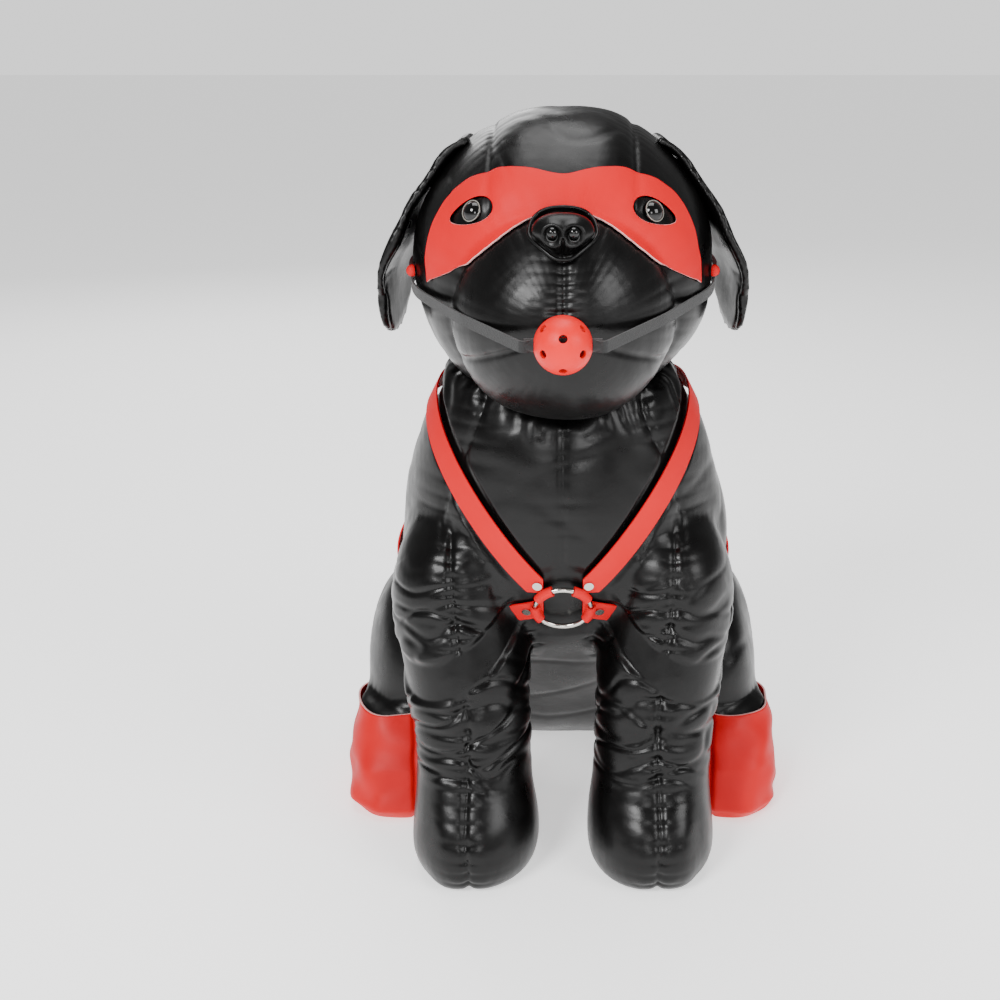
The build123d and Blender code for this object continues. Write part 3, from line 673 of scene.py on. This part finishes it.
def eye_rims():
    """A pale ring round each eye where the dome meets the leather: a painted reflection that stands in
    for the crescent of light on the glossy dome's edge.
    """
    around = np.linspace(0, 2 * pi, 73)[:-1]
    for side, s in SIDES:
        low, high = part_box(f"eye_{side}")
        points = coords(nodes[f"eye_{side}"].data)
        out = Vector((s * 71 * MM, 0, (low.z + high.z) / 2 - SKULL_AT.z))
        out.y = -sqrt(SKULL_R**2 - out.x**2 - out.z**2)
        out.normalize()
        reach = points @ np.array(out)
        dome = points[reach > reach.max() - 5.3 * MM]
        centre = np.array(out) * (reach.max() - 4.2 * MM)
        centre += dome.mean(axis=0) - np.array(out) * (dome.mean(axis=0) @ np.array(out))
        aside = np.array(out.orthogonal().normalized())
        upward = np.cross(np.array(out), aside)
        path = centre + 8.3 * MM * (np.cos(around)[:, None] * aside + np.sin(around)[:, None] * upward)
        # the ring's pale colour is a painted reflection, not the eye's own colour
        tube_round(f"eye_rim_{side}", path, 0.5 * MM, EYE_REFLECTION_PAINT)


# ------------------------------------------------------------------ carried-over hardware


def dress(name, finish):
    """Gives a CAD node its finished material."""
    mesh = nodes[name].data
    mesh.materials.clear()
    mesh.materials.append(finish)


def dress_hardware():
    """Materials for the CAD nodes that keep their own shape."""
    for name in ("front_ring", "back_ring", "harness_rivets"):
        dress(name, NICKEL)
    for side, _ in SIDES:
        dress(f"buckle_frame_{side}", NICKEL)
        dress(f"buckle_prong_{side}", NICKEL)
        dress(f"shoulder_strap_{side}", RED)
        dress(f"girth_strap_{side}", RED)
        dress(f"boot_sole_{side}", BOOT_RED)
        dress(f"eye_{side}", EYE_BLACK)
    dress("strap_end_loops", RED)
    dress("buckle_chapes", RED)
    dress("mask_knots", RED)
    dress("mask_elastic", RED_ELASTIC)
    dress("muzzle_strap", BLACK_ELASTIC)
    dress("ball", BALL_RED)
    dress("nostrils", EYE_BLACK)


# ------------------------------------------------------------------ stage


FLOOR_SIZE = 40.0
CAMERA_AT = (0, -1.2151, 0.716)
CAMERA_DOWN = 19.1  # degrees below level
CAMERA_LENS = 46.8  # on a sensor 36 mm wide
CAMERA_SHIFT = -0.063
LAMPS_AIM = Vector((0, -0.05, 0.35))
# name, place, width in metres, watts
LAMPS = (
    ("key", (-1.3, -2.0, 2.0), 0.9, 76),
    ("fill", (1.8, -1.5, 1.4), 1.2, 36),
    ("top", (0.0, 0.2, 2.6), 1.4, 34),
    ("front", (0.1, -2.6, 1.0), 0.6, 12),
    ("rear", (-0.8, 2.4, 1.8), 1.4, 30),
)


def stage():
    """Pale floor, soft studio lights and the camera."""
    white = colour("#ffffff")
    glow = {"Emission_Color": white, "Emission_Strength": 0.85}
    pale, _, _, _ = material("floor_paint", Base_Color=white, Roughness=0.9, **glow)
    mesh = bpy.data.meshes.new("floor")
    corners = [(x * FLOOR_SIZE, y * FLOOR_SIZE, 0) for x, y in ((-1, -1), (1, -1), (1, 1), (-1, 1))]
    mesh.from_pydata(corners, [], [(0, 1, 2, 3)])
    floor = bpy.data.objects.new("floor", mesh)
    mesh.materials.append(pale)
    bpy.context.scene.collection.objects.link(floor)

    world = bpy.data.worlds.new("studio")
    world.use_nodes = True
    sky = world.node_tree.nodes["Background"]
    seen = add(world.node_tree, "ShaderNodeLightPath", {}, "Is Camera Ray")
    bright = {"Value": seen, "To Min": 0.24, "To Max": 1.25}
    world.node_tree.links.new(add(world.node_tree, "ShaderNodeMapRange", bright), sky.inputs["Strength"])
    sky.inputs["Color"].default_value = white
    bpy.context.scene.world = world

    for name, at, width, power in LAMPS:
        light = bpy.data.lights.new(name, "AREA")
        light.shape = "SQUARE"
        light.size = width
        light.energy = power
        lamp = bpy.data.objects.new(name, light)
        lamp.location = at
        lamp.rotation_euler = (LAMPS_AIM - Vector(at)).to_track_quat("-Z", "Y").to_euler()
        bpy.context.scene.collection.objects.link(lamp)

    camera = bpy.data.cameras.new("camera")
    camera.lens = CAMERA_LENS
    camera.sensor_width = 36
    camera.shift_x = CAMERA_SHIFT
    view = bpy.data.objects.new("camera", camera)
    view.location = CAMERA_AT
    view.rotation_euler = (radians(90 - CAMERA_DOWN), 0, 0)
    bpy.context.scene.collection.objects.link(view)
    bpy.context.scene.camera = view


stage()
body_skins()
ears()
boots()
mask()
nose()
eye_rims()
dress_hardware()
